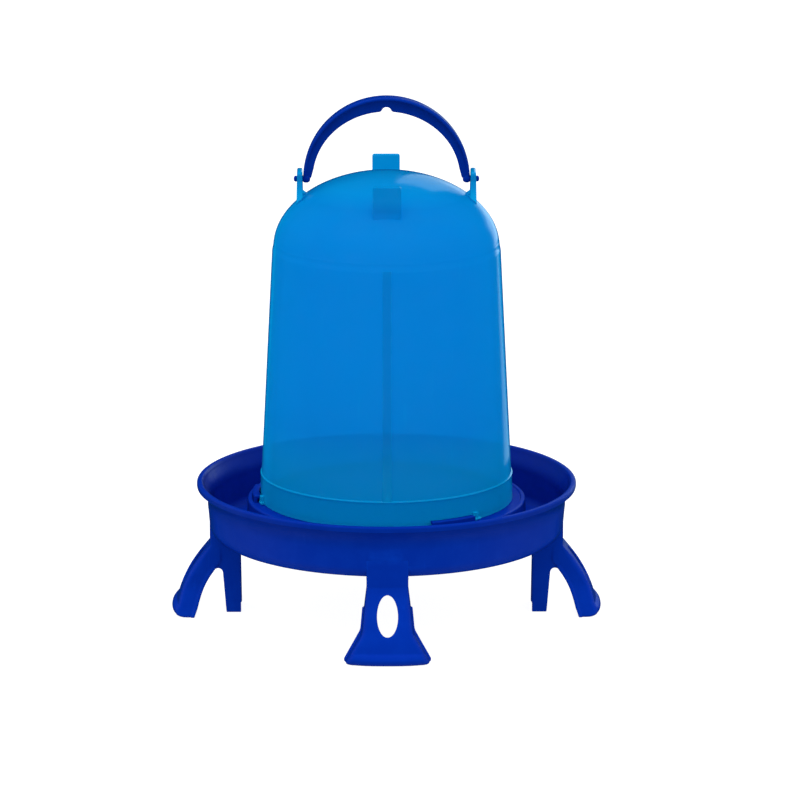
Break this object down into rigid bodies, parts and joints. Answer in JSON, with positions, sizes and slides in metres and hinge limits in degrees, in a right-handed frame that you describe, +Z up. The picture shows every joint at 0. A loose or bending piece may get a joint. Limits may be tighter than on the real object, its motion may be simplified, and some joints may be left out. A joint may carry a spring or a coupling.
{
  "type": "poultry waterer fount",
  "caption": "Gravity-fed poultry drinker: a domed translucent reservoir stands upside down in a flared trough on clip-on legs, with a swinging arched handle.",
  "frame": {"origin": "on the ground at the centre, on the axis of the drum and tray", "axes": "+Z up, the drum lifts off along it; -Y towards the front leg; the handle arch stands in the XZ plane and swings about X"},
  "size_m": [0.3646, 0.3646, 0.4405],
  "materials": {
    "royal_blue_tray": "satin moulded polypropylene",
    "royal_blue_leg": "satin moulded polypropylene",
    "navy_handle": "satin moulded polypropylene",
    "translucent_blue_drum": "glossy translucent polypropylene"
  },
  "bodies": {
    "base": {"tray": "royal_blue_tray", "leg_front": "royal_blue_leg", "leg_right": "royal_blue_leg", "leg_back": "royal_blue_leg", "leg_left": "royal_blue_leg"},
    "drum": {"drum": "translucent_blue_drum"},
    "handle": {"handle": "navy_handle"}
  },
  "joints": [
    {"name": "drum_lift", "type": "slide", "parent": "base", "child": "drum", "axis": [0, 0, 1], "range_m": [0, 0.12]},
    {"name": "handle_swing", "type": "hinge", "parent": "drum", "child": "handle", "pos_m": [0, 0, 0.3709], "axis": [1, 0, 0], "range_deg": [-90, 90]}
  ]
}
